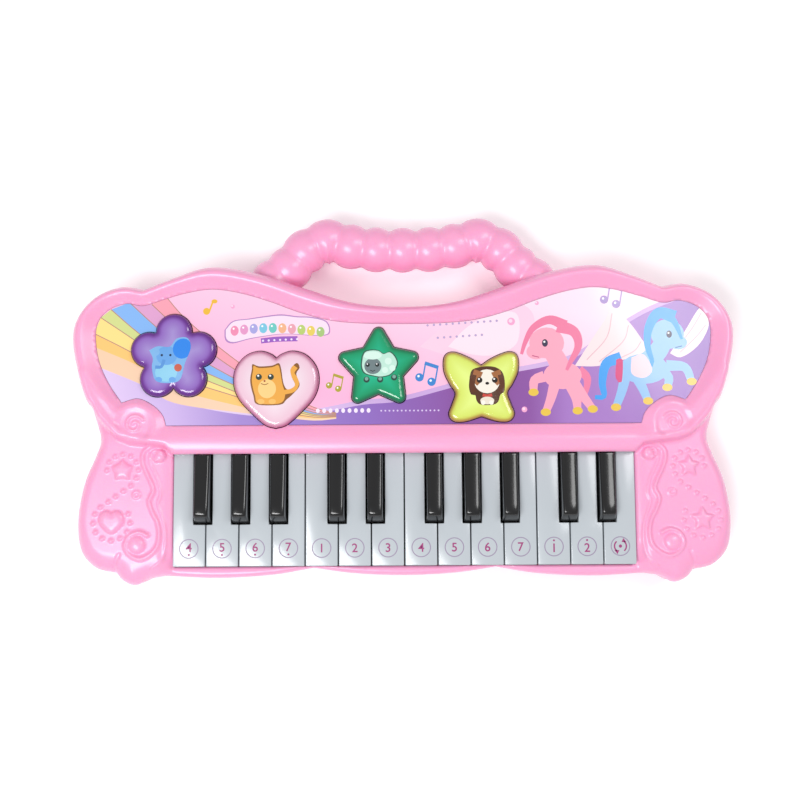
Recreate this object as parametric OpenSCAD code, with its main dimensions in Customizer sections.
// Toy electronic keyboard with fourteen white keys, ten black keys, four light-up buttons
// and a carrying handle. The origin is on the table under the middle of the toy:
// +X runs along the keys to the right, +Y towards the handle, +Z up. Sizes are millimetres.

/* [Housing] */
// Thickness of the shell walls
wall = 2; // [1.6:0.1:2.4]
// Height of the seam between the two shells
seam_z = 16; // [15:0.5:17]
// Height of the flat deck that carries the printed panel
deck_z = 30.6; // [30:0.1:31]
// Height of the rim around the printed panel
rim_z = 36; // [35:0.5:38]
// Height of the bar between the panel and the keys
bar_z = 33; // [32.5:0.5:34]
// Height of the two wings beside the keys
wing_z = 27; // [26.5:0.5:28]
// Height of the lip in front of the keys
lip_z = 22; // [20:0.5:23]
// Height of the rubber feet
foot_h = 2; // [1.5:0.5:2]

/* [Keys] */
// Centre-to-centre distance of the white keys
key_pitch = 16.2; // [16:0.1:16.3]
// Height of the white keys' top
white_z = 26; // [25.5:0.1:26.2]
// Width of a black key at its base
black_w = 8.5; // [8:0.1:9]
// How far down a white key turns, in degrees
white_dip = 2.5; // [2:0.1:3]
// How far down a black key turns, in degrees
black_dip = 3; // [2:0.1:3.2]
// Radius of the steel rod that the keys turn on
rod_r = 1.5; // [1.4:0.05:1.6]

/* [Buttons] */
// How far a button travels
button_travel = 1.5; // [1:0.1:1.8]
// How far a button stands above the printed panel
button_rise = 3.5; // [3:0.1:4]

/* [Handle] */
// Radius of one bead of the handle
bead_r = 11.4; // [11:0.1:11.4]

/* [Hidden] */
$fn = 48;
cut = 0.1; // how far a cutting shape runs past the face it cuts

white_count = 14;
well_x = white_count * key_pitch / 2;
well_front_y = -83.3;
well_rear_y = -28;
bar_rear_y = -14;
pivot_y = -12;
pivot_z = 20;
key_rear_y = -8;
key_gap = 0.3;
key_wall = 1.5;
key_skirt_z = 17;
black_front_y = -61.6;
black_gap = 0.5;
// white keys counted from 0 that have a black key on their right, with that key's offset
black_after = [0, 1, 2, 4, 5, 7, 8, 9, 11, 12];
black_shift = [-1.5, 0.8, 3.2, -0.55, 2, -1.5, 0.8, 3.2, -0.55, 2];
rib_after = [3, 6, 10];
rib_gap = 1.9;
rib_t = 2.6;
rod_play = 0.06;

panel_t = 0.4;
deck_t = 2;
deck_under_z = deck_z - deck_t;
button_gap = 0.35;
flange_w = 1.5;
flange_t = 1.8;
button_top_z = deck_z + panel_t + button_rise;
button_board_z = 21;
board_t = 1.6;
dome_h = 3.4;

floor_z = foot_h;
floor_top_z = floor_z + wall;
handle_z = seam_z;
bead_wall = 2;
root_fit = 0.15;

battery_box = [62, 40];
battery_at = [-95, 15];
battery_top_z = 20.2;
cell_r = 7.1;
cell_l = 50;
door_t = 2;
door_pin_r = 1;
speaker_at = [95, 26];
speaker_r = 28;
switch_at = [50, 10];
switch_travel = 4;
main_board = [76, 30];
main_board_at = [-4, 19];
key_board_z = 6;

screw_r = 1.25;
screw_fit = 0.1;
screw_head_r = 2.6;
shell_screw_z = 8;
shell_screw_l = 15;
shell_screw_at = [[105, 57], [40, 42], [155, 25], [137, -8], [140, -66], [67, 52]];
board_post_at = [[-134, 1], [-58, 31], [-37.5, 1], [14.5, 2], [59, 1]];
foot_at = [[140, 40], [146, -50], [50, -76]];

pink = "#ffb2d6";
deep_pink = "#ff9cc6";

// Half outlines run clockwise from the middle of the back, on the side where X is positive.
back_edge = [[0, 44.8], [24, 46.8], [48, 54], [72, 61.8], [95, 65.2], [113, 60.2], [128, 54.2]];
side_edge = [
    [128, 54.2], [140, 55.4], [153, 50], [161.6, 39], [163.2, 26], [158.8, 6], [153.2, -11],
    [150.8, -20.5], [152.9, -28], [158.5, -42], [161.3, -60], [159.5, -75], [152, -83.4], [142, -86]
];
spike_edge = [[142, -86], [138.5, -89.8], [132.5, -92], [125.5, -88.9], [118, -87.6]];
outer_scallop = [[118, -87.6], [92, -88.8], [66, -87.5], [45, -84.2]];
middle_scallop = [[45, -84.2], [24, -87], [0, -88]];

panel_back = [
    [0, 35.4], [20, 35.8], [36, 37.4], [51, 41.4], [66, 47], [81, 51.4], [94, 53.2], [106, 51.6],
    [117.5, 48.4], [128, 45.2], [136, 46.3], [144, 43.8], [149.5, 38.5], [151.2, 31], [149.6, 19],
    [145, 8], [138, -2.6]
];
panel_notch = [[138, -2.6], [130, -0.6], [122.5, -4], [117.8, -8.8], [116, -14]];

heart_half = [[0, 18.7], [2.6, 20.7], [8, 22.2], [14.6, 20.2], [19.6, 14.4], [20.9, 7], [18.6, -0.6],
    [12.6, -7.6], [5.4, -14], [0, -15.8]];
butterfly_half = [[0, 14.6], [5.5, 18.2], [13.4, 21.2], [17.8, 19.2], [18.2, 12], [15.4, 5.4],
    [12.8, 1], [14.3, -4.2], [16, -9.4], [13.6, -12.8], [8, -13], [0, -10.6]];

flower_at = [-112.6, 19.2];
heart_at = [-62.3, 0];
star_at = [-12.2, 13.4];
butterfly_at = [38, 0];
button_centres = [flower_at, heart_at + [0, 5], star_at, butterfly_at + [0, 3]];

beads = [[0, 76], [13.6, 76.3], [26.4, 78], [38.5, 80.6], [49.6, 75.4], [57.8, 66.8], [66, 60]];

function two_digits(i) = str(i < 10 ? "0" : "", i);
function white_name(i) = str("white_key_", two_digits(i + 1));
function black_name(k) = str("black_key_", two_digits(k + 1));

// ---- curves -------------------------------------------------------------------------------

// One point of a curve through b and c, with its neighbours a and d on either side.
function between(a, b, c, d, t) =
    0.5 * (2 * b + (c - a) * t + (2 * a - 5 * b + 4 * c - d) * t * t + (3 * b - a - 3 * c + d) * t * t * t);

// A smooth curve through the given points, without its last point.
function smooth(points, steps = 3) =
    let (n = len(points), last = points[n - 1])
    let (all = concat([2 * points[0] - points[1]], points, [2 * last - points[n - 2]]))
    [for (i = [1 : n - 1], s = [0 : steps - 1])
        between(all[i - 1], all[i], all[i + 1], all[i + 2], s / steps)];

// The same points in the opposite order, on the other side of the middle.
function mirrored(points) = [for (i = [len(points) - 1 : -1 : 0]) [-points[i][0], points[i][1]]];
function both_sides(points) = concat(mirrored(points), [for (i = [1 : len(points) - 1]) points[i]]);
function opposite_way(points) = [for (i = [len(points) - 1 : -1 : 0]) points[i]];

function body_points() =
    concat(
        smooth(both_sides(back_edge)),
        smooth(side_edge),
        smooth(spike_edge),
        smooth(outer_scallop),
        smooth(opposite_way(both_sides(opposite_way(middle_scallop)))),
        smooth(mirrored(outer_scallop)),
        smooth(mirrored(spike_edge)),
        smooth(mirrored(side_edge))
    );

function panel_points() =
    concat(
        smooth(both_sides(panel_back)),
        smooth(panel_notch),
        [panel_notch[len(panel_notch) - 1]],
        smooth(mirrored(panel_notch))
    );

function closed_half(points) = concat(smooth(points), smooth(mirrored(points)));

// ---- plane shapes -------------------------------------------------------------------------

module slab(z0, z1) {
    translate([0, 0, z0]) linear_extrude(z1 - z0) children();
}

module both() {
    children();
    mirror([1, 0, 0]) children();
}

module body_2d(inset = 0) {
    offset(delta = -inset) polygon(body_points());
}

module panel_2d(grow = 0) {
    offset(delta = grow) polygon(panel_points());
}

// The raised part of the housing, behind the wings and the keys.
module back_area_2d() {
    step_y = -20;
    translate([-well_x - 4, well_rear_y]) square([2 * well_x + 8, 200]);
    translate([-200, step_y]) square([400, 200]);
}

module back_2d(inset = 0) {
    intersection() {
        body_2d(inset);
        offset(delta = -inset) back_area_2d();
    }
}

module flower_2d() {
    petal_r = 8.8;
    petal_at = 12.8;
    translate(flower_at) {
        circle(petal_at - 2);
        for (a = [0 : 4]) rotate(90 + 72 * a) translate([petal_at, 0]) circle(petal_r);
    }
}

module heart_2d() {
    translate(heart_at) polygon(closed_half(heart_half));
}

module star_2d() {
    point_r = 23.4;
    inner_r = 12.8;
    soft = 3;
    translate(star_at)
        offset(r = soft, $fn = 24) offset(delta = -soft)
            polygon([for (i = [0 : 9]) (i % 2 == 0 ? point_r : inner_r) * [sin(36 * i), cos(36 * i)]]);
}

module butterfly_2d() {
    translate(butterfly_at) polygon(closed_half(butterfly_half));
}

module button_shapes_2d() {
    flower_2d();
    heart_2d();
    star_2d();
    butterfly_2d();
}

// ---- shells -------------------------------------------------------------------------------

module screw_places() {
    both() for (p = shell_screw_at) translate(p) children();
}

// The beads of the handle as solid balls with flat facets.
module bead_chain(r, facets) {
    for (s = [-1, 1], b = beads) translate([s * b[0], b[1], handle_z]) hull() sphere(r, $fn = facets);
}

// The flat root of the handle that the shells hold.
root_size = [14, 14, 8];
module handle_roots(grow = 0) {
    both() translate([67 - root_size[0] / 2 - grow, 45 - grow, handle_z - root_size[2] / 2 - grow])
        cube(root_size + 2 * grow * [1, 1, 1]);
}

module wall_beads() {
    both() for (i = [5, 6]) translate([beads[i][0], beads[i][1], handle_z]) sphere(bead_r + root_fit);
}

module black_notch(k) {
    translate([black_x(k) - black_w / 2 - black_gap, well_rear_y - cut, white_z])
        cube([black_w + 2 * black_gap, wall + 2 * cut, deck_z - white_z]);
}

module top_shell_outside() {
    edge = 1.5;
    slab(seam_z, wing_z - edge) body_2d();
    slab(wing_z - edge, wing_z) body_2d(edge);
    slab(wing_z - 2 * edge, rim_z - 2 * edge) back_2d();
    slab(rim_z - 2 * edge, rim_z - edge) back_2d(edge);
    slab(rim_z - edge, rim_z) back_2d(2.5 * edge);
}

module top_shell_hollow() {
    slab(seam_z - cut, deck_under_z) back_2d(wall);
    slab(seam_z - cut, wing_z - wall) difference() {
        body_2d(wall);
        translate([-well_x - wall, well_front_y - wall])
            square([2 * (well_x + wall), well_rear_y - well_front_y + wall]);
    }
    slab(deck_under_z - cut, rim_z - 2 * wall) difference() {
        back_2d(wall + 1);
        panel_2d(wall);
        translate([-well_x - 8, well_rear_y]) square([2 * well_x + 16, 20]);
    }
}

module top_shell() {
    color(pink) difference() {
        union() {
            difference() {
                top_shell_outside();
                top_shell_hollow();
                // space for the keys, open at the top in front of the bar
                translate([-well_x, well_front_y, seam_z - cut])
                    cube([2 * well_x, well_rear_y - well_front_y, 30]);
                // space under the bar
                translate([-well_x - 4 + wall, well_rear_y + wall, seam_z - cut])
                    cube([2 * (well_x + 4 - wall), 20, bar_z - wall - seam_z]);
                translate([-well_x, well_rear_y - cut, seam_z - cut])
                    cube([2 * well_x, wall + 2 * cut, white_z + 1 - seam_z]);
                // the lip in front of the keys and the bar behind them are lower than the rest
                translate([-well_x, -100, lip_z]) cube([2 * well_x, 100 + well_front_y + cut, 20]);
                translate([-116, well_rear_y - cut, bar_z])
                    cube([232, bar_rear_y - well_rear_y + cut, 20]);
                slab(deck_z, rim_z + 1) panel_2d(root_fit);
            }
            slab(deck_under_z, deck_z) intersection() {
                back_2d(wall / 2);
                translate([-200, bar_rear_y]) square([400, 200]);
            }
            slab(seam_z, deck_under_z + cut) screw_bosses_2d(behind = true);
            slab(seam_z, wing_z - wall + cut) screw_bosses_2d(behind = false);
            for (p = board_post_at)
                translate([p[0], p[1], button_board_z + board_t])
                    cylinder(r = 2.4, h = deck_under_z - button_board_z - board_t + cut);
        }
        slab(deck_under_z - cut, rim_z) offset(delta = button_gap) button_shapes_2d();
        for (k = [0 : len(black_after) - 1]) black_notch(k);
        slab(seam_z - cut, shell_screw_z + shell_screw_l + 1) screw_places() circle(screw_r + screw_fit);
        for (p = board_post_at)
            translate([p[0], p[1], button_board_z]) cylinder(r = screw_r + screw_fit, h = 6);
        wall_beads();
        handle_roots(root_fit);
    }
}

module screw_bosses_2d(behind) {
    both() for (p = shell_screw_at)
        if ((p[1] > bar_rear_y) == behind) translate(p) circle(3.4);
}

module bottom_shell_outside() {
    slab(floor_z, floor_z + 2) body_2d(3);
    slab(floor_z + 2, floor_z + 4) body_2d(1.4);
    slab(floor_z + 4, seam_z) body_2d();
}

module bottom_shell_hollow() {
    slab(floor_top_z, floor_top_z + 2) body_2d(wall + 1.4);
    slab(floor_top_z + 2 - cut, seam_z + cut) body_2d(wall);
}

module battery_area_2d(grow = 0) {
    translate(battery_at) square(battery_box + 2 * grow * [1, 1], center = true);
}

door_front_y = battery_at[1] - battery_box[1] / 2;
door_pin_y = door_front_y + 1.4;
door_pin_z = floor_z + door_t / 2;
door_screw_y = battery_at[1] + battery_box[1] / 2 - 3.5;

module speaker_holes_2d() {
    step = 6.5;
    translate(speaker_at) {
        circle(1.8);
        for (ring = [1 : 3], a = [1 : 6 * ring]) rotate(a * 60 / ring) translate([ring * step, 0]) circle(1.8);
    }
}

module bottom_shell() {
    box_wall = 1.6;
    pressed_key_room = 4;
    color(deep_pink) difference() {
        union() {
            difference() {
                bottom_shell_outside();
                bottom_shell_hollow();
            }
            slab(floor_top_z - cut, battery_top_z) battery_area_2d(box_wall);
            slab(floor_top_z - cut, seam_z) screw_columns_2d();
            slab(floor_top_z - cut, handle_z - root_size[2] / 2 - root_fit)
                both() translate(shell_screw_at[5]) circle(4.6);
            // posts under the circuit boards and the key frame
            slab(floor_top_z - cut, key_board_z) for (x = [-105, -35, 35, 105]) translate([x, -50]) circle(3);
            slab(floor_top_z - cut, key_frame_z) for (x = frame_screw_x) translate([x, pivot_y]) circle(3);
            slab(floor_top_z - cut, main_board_z) main_board_corners() circle(3);
            slab(floor_top_z - cut, speaker_seat_z) translate(speaker_at) difference() {
                circle(speaker_r + 1.6);
                circle(speaker_r - 3);
            }
            // bearings of the battery door's pins
            for (s = [-1, 1]) translate([battery_at[0] + s * 26, door_pin_y, floor_z])
                translate([-3, -2.4, 0]) cube([6, 4.8, 5.2]);
        }
        slab(floor_z - cut, battery_top_z - box_wall) difference() {
            battery_area_2d();
            for (s = [-1, 1]) translate([battery_at[0] + s * 26 - 3, door_front_y - 3]) square([6, 6.8]);
        }
        // the lid's screw boss and the pins' bearings stay inside the box
        for (s = [-1, 1]) translate([battery_at[0] + s * 26, door_pin_y, door_pin_z])
            rotate([0, 90, 0]) cylinder(r = door_pin_r + 0.06, h = 20, center = true);
        slab(floor_z - cut, floor_top_z + cut) speaker_holes_2d();
        slab(floor_z - cut, floor_top_z + cut) translate(switch_at)
            square([switch_travel + 5.4, 3.6], center = true);
        slab(floor_z - cut, shell_screw_z) screw_places() circle(screw_head_r + 0.3);
        slab(floor_z - cut, seam_z + cut) screw_places() circle(screw_r + 0.25);
        slab(floor_top_z + 0.4, key_frame_z + cut)
            for (x = frame_screw_x) translate([x, pivot_y]) circle(screw_r + screw_fit);
        slab(floor_top_z + 0.4, main_board_z + cut) main_board_corners() circle(screw_r + screw_fit);
        slab(floor_z - cut, floor_z + 0.8) foot_places() circle(5.1);
        wall_beads();
        handle_roots(root_fit);
        // room for the fronts of the pressed keys
        translate([-well_x, well_front_y, seam_z - pressed_key_room])
            cube([2 * well_x, 2 * wall, pressed_key_room + cut]);
    }
    color(deep_pink) difference() {
        slab(floor_z, battery_top_z - 1) translate([battery_at[0], door_screw_y]) square([7, 7], center = true);
        slab(floor_z - cut, floor_z + door_t + 0.2)
            translate([battery_at[0], door_screw_y]) square([8, 9], center = true);
        slab(0, 12) translate([battery_at[0], door_screw_y]) circle(screw_r + 0.35);
    }
}

module screw_columns_2d() {
    both() for (p = shell_screw_at) if (p != shell_screw_at[5]) translate(p) circle(4.4);
}

module foot_places() {
    both() for (p = foot_at) translate(p) children();
}

// ---- handle -------------------------------------------------------------------------------

module handle_solid() {
    bead_chain(bead_r, 24);
    handle_roots();
}

module handle_half(z0) {
    difference() {
        intersection() {
            handle_solid();
            translate([-100, 0, z0]) cube([200, 120, 20]);
        }
        difference() {
            bead_chain(bead_r - bead_wall, 14);
            both() translate([beads[2][0], beads[2][1], 0]) cylinder(r = 3, h = 60);
            handle_roots();
        }
        both() translate([beads[2][0], beads[2][1], handle_z - bead_r - cut]) {
            cylinder(r = screw_r + screw_fit, h = bead_r + 7);
            cylinder(r = screw_head_r + 0.3, h = 1.6 + cut);
        }
        both() translate(shell_screw_at[5]) {
            cylinder(r = 1.8, h = 60);
            cylinder(r = screw_head_r + 0.3, h = shell_screw_z);
        }
    }
}

module handle_upper() {
    color(pink) handle_half(handle_z);
}

module handle_lower() {
    color(pink) handle_half(handle_z - 20);
}

// ---- printed panel and buttons --------------------------------------------------------------

module printed_panel() {
    color("#efc4f0") slab(deck_z, deck_z + panel_t) difference() {
        panel_2d();
        offset(delta = button_gap) button_shapes_2d();
    }
}

// A hollow cap with a flange that the deck keeps in; centre is where its plunger stands.
module button(centre) {
    cap_wall = 1.6;
    chamfer = 0.8;
    relief_y = key_rear_y + 6;
    relief_z = white_z + button_travel + 1.4;
    flange_z = deck_under_z - 0.2 - flange_t;
    difference() {
        union() {
            slab(flange_z, button_top_z - chamfer) children();
            slab(button_top_z - chamfer, button_top_z) offset(delta = -chamfer) children();
            slab(flange_z, flange_z + flange_t) offset(delta = flange_w) children();
        }
        difference() {
            slab(flange_z - cut, button_top_z - cap_wall) offset(delta = -cap_wall) children();
            button_plunger(centre);
        }
        // a pressed cap stays above the rear ends of the keys
        difference() {
            slab(0, relief_z) translate([-well_x, relief_y - 40]) square([2 * well_x, 40]);
            button_plunger(centre);
        }
    }
}

module button_plunger(centre) {
    plunger_z = button_board_z + board_t + dome_h + button_travel + 0.2;
    translate([centre[0], centre[1] - 6, plunger_z]) cylinder(r = 2.5, h = 20);
}

module flower_button() {
    color("#8a4fb4") button(button_centres[0]) flower_2d();
}

module heart_button() {
    color("#ffd6e6") button(button_centres[1]) heart_2d();
}

module star_button() {
    color("#1fae6c") button(button_centres[2]) star_2d();
}

module butterfly_button() {
    color("#d8f06a") button(button_centres[3]) butterfly_2d();
}

// ---- keys -----------------------------------------------------------------------------------

function gap_x(i) = -well_x + (i + 1) * key_pitch; // the line between white keys i and i + 1
function black_x(k) = gap_x(black_after[k]) + black_shift[k];

module white_key_2d(i) {
    difference() {
        translate([gap_x(i - 1) + key_gap, well_front_y + 0.6])
            square([key_pitch - 2 * key_gap, key_rear_y - well_front_y - 0.6]);
        for (k = [0 : len(black_after) - 1])
            translate([black_x(k) - black_w / 2 - black_gap, black_front_y - 0.8])
                square([black_w + 2 * black_gap, 80]);
        // the narrow slot left beside each black key where it lies off the line
        for (k = [0 : len(black_after) - 1]) if (black_after[k] == i || black_after[k] == i - 1)
            white_sliver(i, k);
        for (r = rib_after) if (r == i || r == i - 1)
            translate([gap_x(r) - rib_gap, pivot_y - 12]) square([2 * rib_gap, 40]);
    }
}

// Whatever a white key would have beyond its black neighbour.
module white_sliver(i, k) {
    right_side = black_after[k] == i;
    x0 = right_side ? black_x(k) : gap_x(i - 1) - 5;
    x1 = right_side ? gap_x(i) + 5 : black_x(k);
    translate([x0, black_front_y - 0.8]) square([x1 - x0, 80]);
}

module hub(x, w) {
    translate([x - w / 2, pivot_y, pivot_z]) rotate([0, 90, 0]) cylinder(r = 3.4, h = w);
}

module rod_bore() {
    translate([-200, pivot_y, pivot_z]) rotate([0, 90, 0]) cylinder(r = rod_r + rod_play, h = 400);
}

white_plunger_y = -67;
black_plunger_y = -45;
strip_t = 1.2;
key_dome_h = 2.8;
dome_top_z = key_board_z + board_t + strip_t + key_dome_h;
press_clearance = 0.4;

// The height of a key's plunger, which meets its dome only past the end of the key's travel.
function key_plunger_z(plunger_y, dip) = dome_top_z + (pivot_y - plunger_y) * sin(dip) + press_clearance;

module white_key(i) {
    x = gap_x(i) - key_pitch / 2;
    plunger_z = key_plunger_z(white_plunger_y, white_dip);
    color("#e8edf2") difference() {
        union() {
            difference() {
                slab(key_skirt_z, white_z) white_key_2d(i);
                slab(key_skirt_z - cut, white_z - 2) offset(delta = -key_wall) white_key_2d(i);
            }
            translate([x, white_plunger_y, plunger_z]) cylinder(r = 2.6, h = white_z - 1 - plunger_z);
            intersection() {
                hub(x, key_pitch);
                slab(0, 60) white_key_2d(i);
            }
        }
        rod_bore();
    }
}

module black_cap(x, inset) {
    base_z = white_z - 1;
    front_z = 32.4;
    rear_z = 29.4;
    rear_y = well_rear_y + wall;
    w = black_w - 2 * inset;
    draft = 1.4;
    hull() {
        translate([x - w / 2, black_front_y + inset, base_z - inset]) cube([w, rear_y - black_front_y - 2 * inset, 0.1]);
        translate([x - (w - draft) / 2, black_front_y + 4 + inset, front_z - inset - 0.1]) cube([w - draft, 4, 0.1]);
        translate([x - (w - draft) / 2, rear_y - 2 - inset, rear_z - inset - 0.1]) cube([w - draft, 2, 0.1]);
    }
}

module black_key(k) {
    x = black_x(k);
    arm_w = 5;
    plunger_z = key_plunger_z(black_plunger_y, black_dip);
    skirt_l = well_rear_y + wall - black_front_y;
    color("#18181a") difference() {
        union() {
            difference() {
                union() {
                    black_cap(x, 0);
                    translate([x - black_w / 2, black_front_y, key_skirt_z + 1])
                        cube([black_w, skirt_l, white_z - key_skirt_z - 1.95]);
                }
                black_cap(x, key_wall);
                translate([x - black_w / 2 + key_wall, black_front_y + key_wall, key_skirt_z])
                    cube([black_w - 2 * key_wall, skirt_l - 2 * key_wall, white_z - key_skirt_z - 2]);
            }
            translate([x, black_plunger_y, plunger_z]) cylinder(r = 2.2, h = white_z + 4.5 - plunger_z);
            translate([x - arm_w / 2, well_rear_y + wall - 0.5, key_skirt_z + 1])
                cube([arm_w, key_rear_y - well_rear_y - wall, white_z - key_skirt_z - 2]);
            hub(x, arm_w);
        }
        rod_bore();
    }
}

key_frame_z = 7;
frame_plate_t = 2;
frame_screw_x = [-104, -30, 30, 104];

module key_frame() {
    end_x = well_x + 2.2;
    rib_x = concat([-end_x, end_x], [for (r = rib_after) gap_x(r)]);
    color("#f4f4f0") difference() {
        union() {
            translate([-end_x - rib_t / 2, pivot_y - 5, key_frame_z]) cube([2 * end_x + rib_t, 10, frame_plate_t]);
            for (x = rib_x) translate([x - rib_t / 2, pivot_y - 4, key_frame_z])
                cube([rib_t, 8, pivot_z + 3.4 - key_frame_z]);
        }
        translate([-200, pivot_y, pivot_z]) rotate([0, 90, 0]) cylinder(r = rod_r + 0.02, h = 400);
        for (x = frame_screw_x) translate([x, pivot_y, 0]) cylinder(r = screw_r + 0.2, h = 20);
    }
}

module key_pivot_rod() {
    rod_l = 2 * well_x + 7;
    color("silver") translate([-rod_l / 2, pivot_y, pivot_z]) rotate([0, 90, 0]) cylinder(r = rod_r, h = rod_l);
}

// ---- electronics ------------------------------------------------------------------------------

main_board_z = 8;

module main_board_corners() {
    translate(main_board_at) for (x = [-1, 1], y = [-1, 1])
        translate([x * (main_board[0] / 2 - 4), y * (main_board[1] / 2 - 4)]) children();
}

module main_circuit_board() {
    color("#2f7d46") slab(main_board_z, main_board_z + board_t) difference() {
        translate(main_board_at) square(main_board, center = true);
        main_board_corners() circle(screw_r + 0.2);
    }
}

module sound_chip() {
    color("#141414") translate([main_board_at[0] - 8, main_board_at[1], main_board_z + board_t])
        intersection() {
            translate([0, 0, -8]) sphere(r = 10.5);
            cylinder(r = 8, h = 5);
        }
}

module capacitor() {
    color("#23406e") translate([main_board_at[0] + 14, main_board_at[1] + 3, main_board_z + board_t])
        cylinder(r = 3.2, h = 9);
}

module key_circuit_board() {
    color("#2f7d46") slab(key_board_z, key_board_z + board_t)
        translate([-well_x + 3, -76]) square([2 * well_x - 6, 50]);
}

module button_circuit_board() {
    color("#2f7d46") slab(button_board_z, button_board_z + board_t) difference() {
        translate([-139, -3]) square([203, 39]);
        for (p = board_post_at) translate(p) circle(screw_r + 0.2);
    }
}

module dome(r, h) {
    cylinder(r1 = r, r2 = r * 0.62, h = h);
}

module white_key_domes() {
    z = key_board_z + board_t;
    color("#d9d9d4") {
        slab(z, z + strip_t) translate([-well_x + 4, white_plunger_y - 5.5]) square([2 * well_x - 8, 11]);
        for (i = [0 : white_count - 1]) translate([gap_x(i) - key_pitch / 2, white_plunger_y, z + strip_t - 0.01])
            dome(4.4, key_dome_h);
    }
}

module black_key_domes() {
    z = key_board_z + board_t;
    color("#d9d9d4") {
        slab(z, z + strip_t) translate([-well_x + 4, black_plunger_y - 5.5]) square([2 * well_x - 8, 11]);
        for (k = [0 : len(black_after) - 1]) translate([black_x(k), black_plunger_y, z + strip_t - 0.01])
            dome(4, key_dome_h);
    }
}

module button_domes() {
    color("#d9d9d4") for (c = button_centres)
        translate([c[0], c[1] - 6, button_board_z + board_t]) dome(4, dome_h);
}

module leds() {
    led_r = 2.5;
    color("#f4f4ff") for (c = button_centres) translate([c[0], c[1] + 6, button_board_z + board_t]) {
        cylinder(r = led_r, h = 4.5);
        translate([0, 0, 4.5]) sphere(led_r);
    }
}

speaker_seat_z = 5;

module speaker_frame() {
    color("#3a3a3c") translate([speaker_at[0], speaker_at[1], speaker_seat_z]) rotate_extrude($fn = 64)
        polygon([[speaker_r - 4, 0], [speaker_r, 0], [speaker_r, 1.5], [speaker_r - 3, 1.5], [16, 9],
            [11, 9], [11, 8], [15.4, 8], [speaker_r - 4, 1]]);
}

module speaker_magnet() {
    color("#6d6d70") translate([speaker_at[0], speaker_at[1], speaker_seat_z + 9]) cylinder(r = 15, h = 8);
}

module speaker_cone() {
    color("#202022") translate([speaker_at[0], speaker_at[1], speaker_seat_z]) rotate_extrude($fn = 64)
        polygon([[0, 5], [6, 5.6], [speaker_r - 7, 0.9], [speaker_r - 4.2, 0.3], [speaker_r - 4.2, 0.8],
            [speaker_r - 7, 1.5], [8, 7.4], [0, 7.4]]);
}

// ---- batteries ----------------------------------------------------------------------------------

cell_count = 2;
cell_pitch = 14.4;
cell_z = floor_top_z + 0.2 + cell_r;
// the cells lie behind the bearings of the door's pins
function cell_y(i) = door_front_y + 4.3 + cell_r + i * cell_pitch;

module battery_cells() {
    color("#3b3f46") for (i = [0 : cell_count - 1])
        translate([battery_at[0] - cell_l / 2, cell_y(i), cell_z]) rotate([0, 90, 0]) {
            cylinder(r = cell_r, h = cell_l - 1);
            translate([0, 0, cell_l - 1]) cylinder(r = 2.7, h = 1);
        }
}

module battery_contacts() {
    plate = [0.5, 9, 10];
    spring_turns = 4;
    wire_r = 0.45;
    color("#c9ccd0") for (i = [0 : cell_count - 1]) translate([battery_at[0], cell_y(i), cell_z]) {
        translate([battery_box[0] / 2 - 0.7, -plate[1] / 2, -plate[2] / 2]) cube(plate);
        translate([-battery_box[0] / 2 + 0.2, -plate[1] / 2, -plate[2] / 2]) cube(plate);
        for (t = [0 : spring_turns - 1])
            translate([-battery_box[0] / 2 + 0.9 + t * wire_r * 1.6, 0, 0]) rotate([0, 90, 0])
                rotate_extrude($fn = 32) translate([4.2 - 0.5 * t, 0]) circle(wire_r * 1.05, $fn = 16);
    }
}

module battery_door() {
    fit = 0.3;
    color(deep_pink) difference() {
        union() {
            slab(floor_z, floor_z + door_t) difference() {
                translate([battery_at[0], battery_at[1] + 0.7])
                    square(battery_box - [2 * fit, 2 * fit + 1.4], center = true);
                for (s = [-1, 1]) translate([battery_at[0] + s * 26 - 3.3, door_front_y - 3])
                    square([6.6, 7.1]);
            }
            // the rounded front edge and its two pins turn in the housing
            translate([battery_at[0] - 30, door_pin_y, door_pin_z]) rotate([0, 90, 0])
                cylinder(r = door_pin_r, h = 60);
        }
        slab(floor_z - cut, floor_z + door_t + cut) translate([battery_at[0], door_screw_y]) circle(screw_r + 0.2);
        // finger groove
        translate([battery_at[0] - 8, battery_at[1] + 10, floor_z - 0.4]) cube([16, 3, 1.2]);
    }
}

module battery_door_screw() {
    color("silver") translate([battery_at[0], door_screw_y, 0]) difference() {
        union() {
            translate([0, 0, floor_z - 1]) cylinder(r = screw_head_r, h = 1);
            translate([0, 0, floor_z - 0.05]) cylinder(r = screw_r, h = 5);
        }
        translate([-2, -0.4, floor_z - 1 - cut]) cube([4, 0.8, 0.5 + cut]);
        translate([-0.4, -2, floor_z - 1 - cut]) cube([0.8, 4, 0.5 + cut]);
    }
}

// ---- switch -----------------------------------------------------------------------------------

module power_switch_body() {
    color("#b9bcc0") difference() {
        slab(floor_top_z, 11) translate(switch_at) square([20, 8], center = true);
        slab(floor_top_z - cut, 8) translate(switch_at) square([12.4, 5], center = true);
    }
}

module power_switch_knob() {
    color("#222224") translate([switch_at[0] - switch_travel / 2, switch_at[1], 0]) {
        slab(floor_z - 0.9, floor_top_z + 1) square([4.6, 3], center = true);
        slab(floor_top_z + 0.6, 7) square([5.4, 4.2], center = true);
    }
}

// ---- leads --------------------------------------------------------------------------------------

// A round lead through the given points.
module lead(points, r = 0.7) {
    for (i = [0 : len(points) - 2]) hull() {
        translate(points[i]) sphere(r, $fn = 8);
        translate(points[i + 1]) sphere(r, $fn = 8);
    }
}

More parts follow.
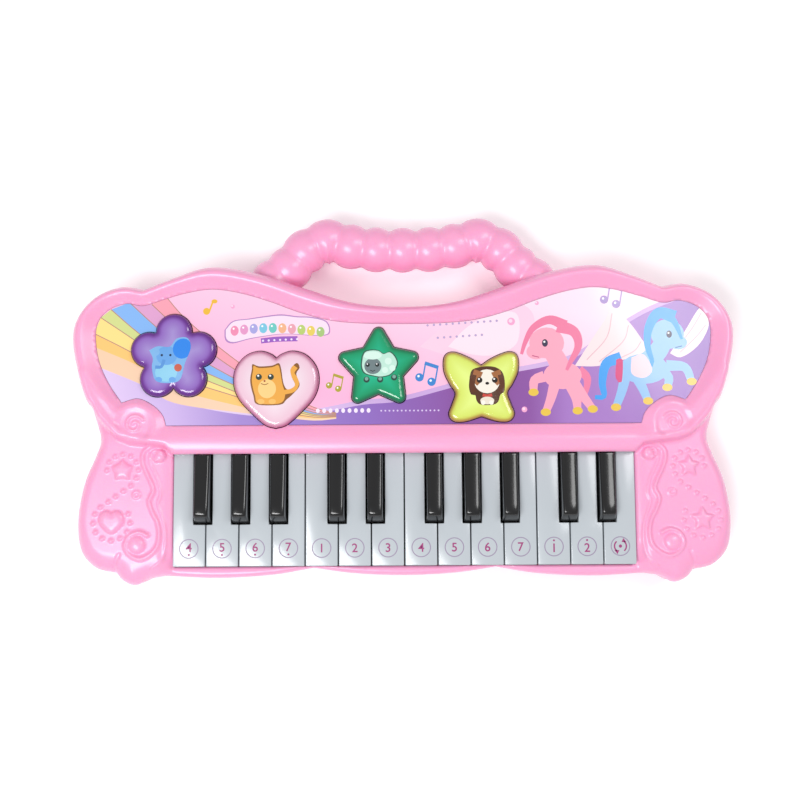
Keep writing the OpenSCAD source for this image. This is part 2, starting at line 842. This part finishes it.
module battery_leads() {
    box_x = battery_at[0] + battery_box[0] / 2 + 2.6;
    color("#c03028") lead([[box_x, 30, 12], [-56, 30, 12], [-50, 26, 11], [-39, 26, 10.5]]);
    color("#202020") lead([[box_x, 12, 12], [-56, 12, 12], [-50, 14, 11], [-39, 14, 10.5]]);
}

module speaker_leads() {
    color("#c03028") lead([[37, 27, 10.5], [50, 30, 10], [64, 33, 14.5], [74, 31, 17]]);
    color("#202020") lead([[37, 22, 10.5], [50, 24, 10], [64, 25, 14.5], [74, 25, 17]]);
}

// ---- screws and feet ------------------------------------------------------------------------------

// A pan-head screw standing head down at z, with a cross recess.
module screw_up(z, l) {
    translate([0, 0, z]) difference() {
        union() {
            translate([0, 0, -1.6]) cylinder(r = screw_head_r, h = 1.6);
            translate([0, 0, -0.05]) cylinder(r = screw_r, h = l);
        }
        translate([-1.6, -0.35, -1.7]) cube([3.2, 0.7, 0.8]);
        translate([-0.35, -1.6, -1.7]) cube([0.7, 3.2, 0.8]);
    }
}

module screw_down(z, l) {
    translate([0, 0, z]) mirror([0, 0, 1]) screw_up(0, l);
}

module shell_screws() {
    color("silver") {
        screw_places() screw_up(shell_screw_z, shell_screw_l);
        both() translate(beads[2]) screw_up(handle_z - bead_r + 1.6, bead_r + 3);
    }
}

module key_frame_screws() {
    color("silver") for (x = frame_screw_x) translate([x, pivot_y]) screw_down(key_frame_z + frame_plate_t, 4);
}

module board_screws() {
    color("silver") {
        for (p = board_post_at) translate(p) screw_up(button_board_z, 5);
        main_board_corners() screw_down(main_board_z + board_t, 4);
    }
}

module rubber_feet() {
    color("#5a5a5e") foot_places() cylinder(r = 5, h = floor_z + 0.8);
}

// ---- nodes ----------------------------------------------------------------------------------------

for (i = [0 : white_count - 1]) white_key(i);
for (k = [0 : len(black_after) - 1]) black_key(k);
flower_button();
heart_button();
star_button();
butterfly_button();
top_shell();
bottom_shell();
handle_upper();
handle_lower();
printed_panel();
battery_door();
battery_door_screw();
battery_contacts();
battery_cells();
speaker_frame();
speaker_magnet();
speaker_cone();
main_circuit_board();
key_circuit_board();
button_circuit_board();
white_key_domes();
black_key_domes();
button_domes();
key_frame();
key_pivot_rod();
leds();
sound_chip();
capacitor();
power_switch_body();
power_switch_knob();
battery_leads();
speaker_leads();
shell_screws();
key_frame_screws();
board_screws();
rubber_feet();
